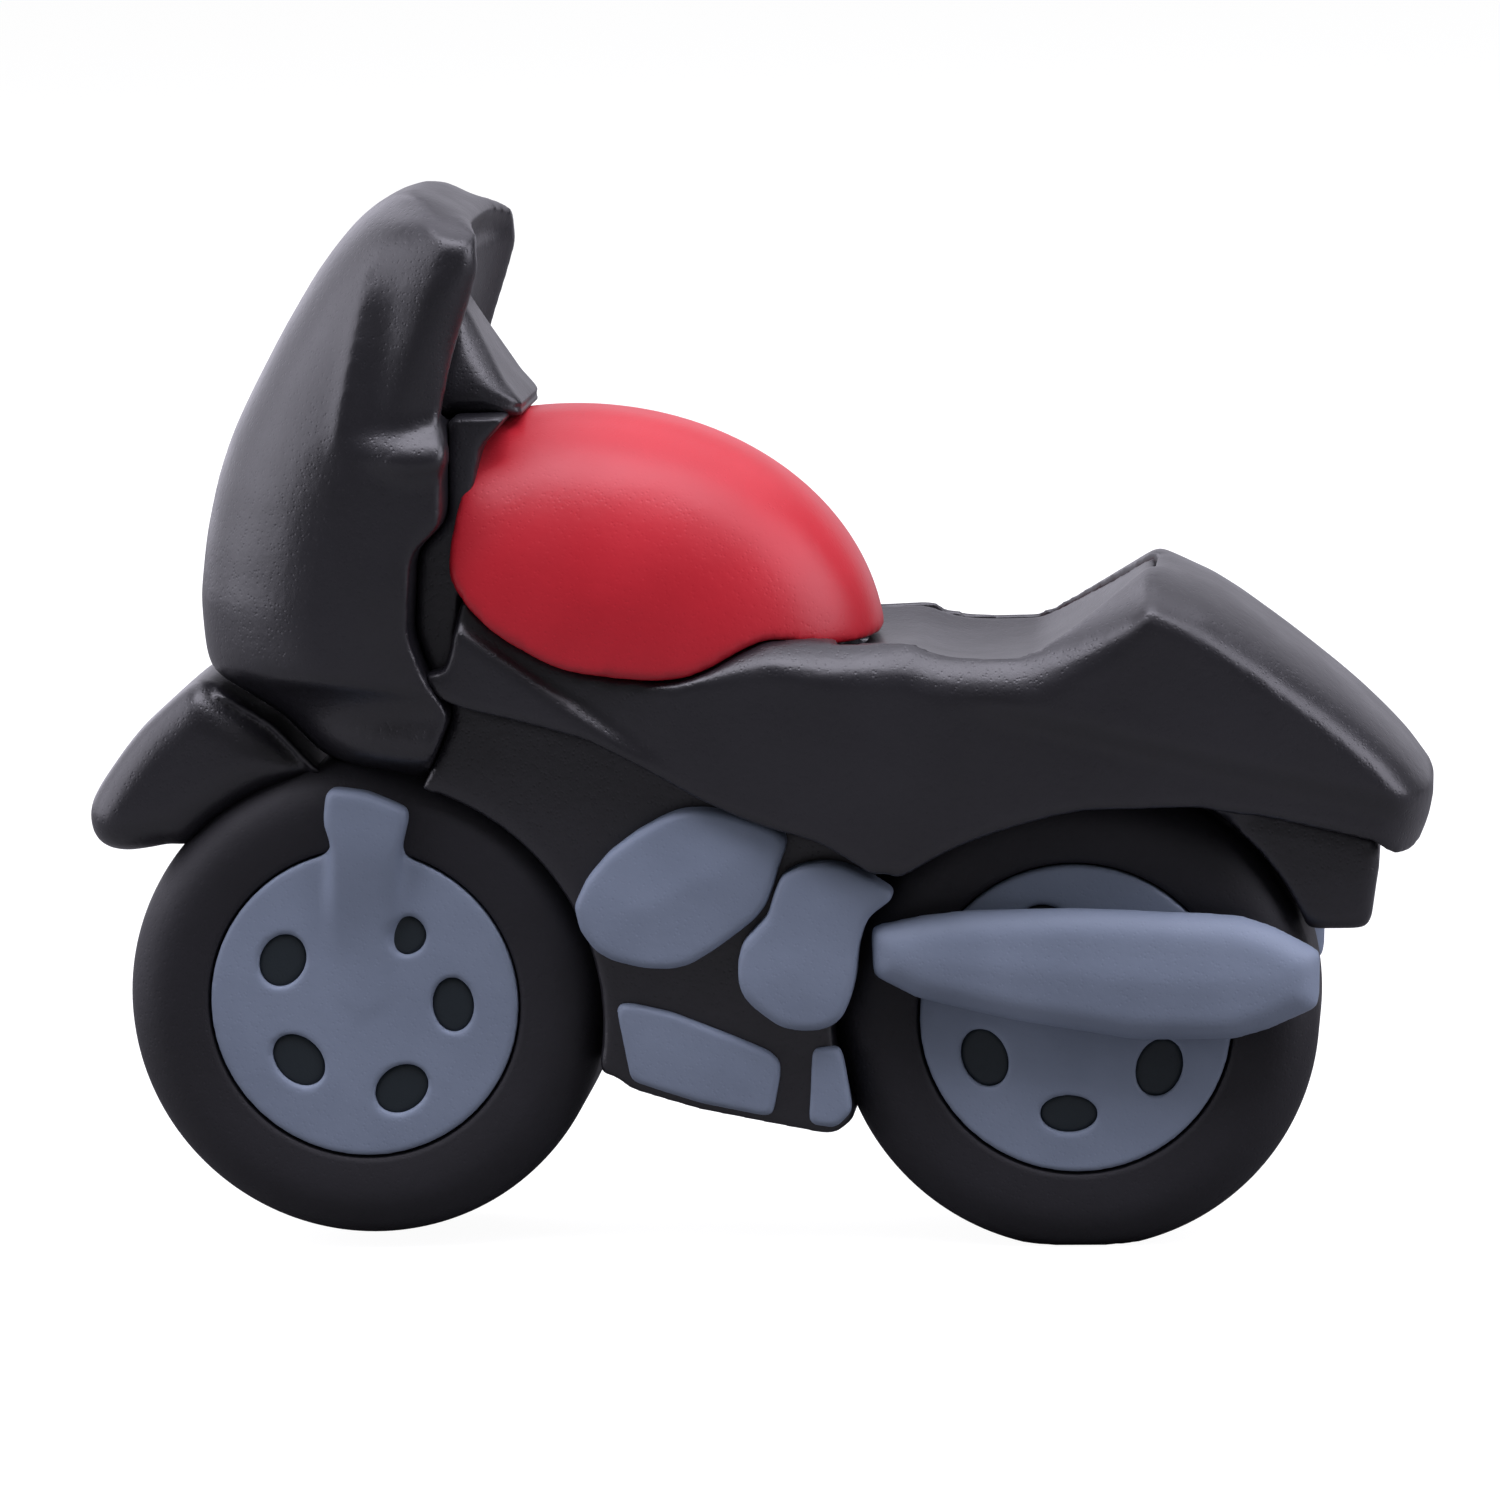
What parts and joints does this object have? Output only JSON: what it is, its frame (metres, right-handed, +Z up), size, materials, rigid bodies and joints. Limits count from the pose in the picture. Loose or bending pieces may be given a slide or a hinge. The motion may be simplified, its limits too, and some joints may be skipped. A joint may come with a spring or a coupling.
{
  "type": "foam motorcycle squeeze toy",
  "caption": "Soft moulded foam toy in the shape of a sports motorcycle, with painted tank, wheel discs, engine covers and exhausts; it stands on its two tyres.",
  "frame": {"origin": "bottom centre of the toy's box, on the surface that the tyres stand on", "axes": "+X along the toy from its front fender to its tail, +Y from its left side to its right side, +Z up"},
  "size_m": [0.1048, 0.0324, 0.0831],
  "materials": {
    "black_foam": "satin integral skin",
    "red_paint": "flexible satin paint",
    "grey_paint": "flexible matt paint"
  },
  "bodies": {
    "root": {"front_tyre": "black_foam", "rear_tyre": "black_foam", "front_disc_left": "grey_paint", "front_disc_right": "grey_paint", "rear_disc_left": "grey_paint", "rear_disc_right": "grey_paint", "fork_leg_left": "grey_paint", "fork_leg_right": "grey_paint", "front_fender": "black_foam", "front_fairing": "black_foam", "console": "black_foam", "steering_head": "black_foam", "handlebar_grip_left": "black_foam", "handlebar_grip_right": "black_foam", "fuel_tank": "red_paint", "main_body": "black_foam", "seat": "black_foam", "rear_mudguard": "black_foam", "engine_core": "black_foam", "cylinder_cover_left": "grey_paint", "cylinder_cover_right": "grey_paint", "clutch_cover_left": "grey_paint", "clutch_cover_right": "grey_paint", "belly_plate_left": "grey_paint", "belly_plate_right": "grey_paint", "belly_tab_left": "grey_paint", "belly_tab_right": "grey_paint", "exhaust_left": "grey_paint", "exhaust_right": "grey_paint"}
  },
  "joints": []
}
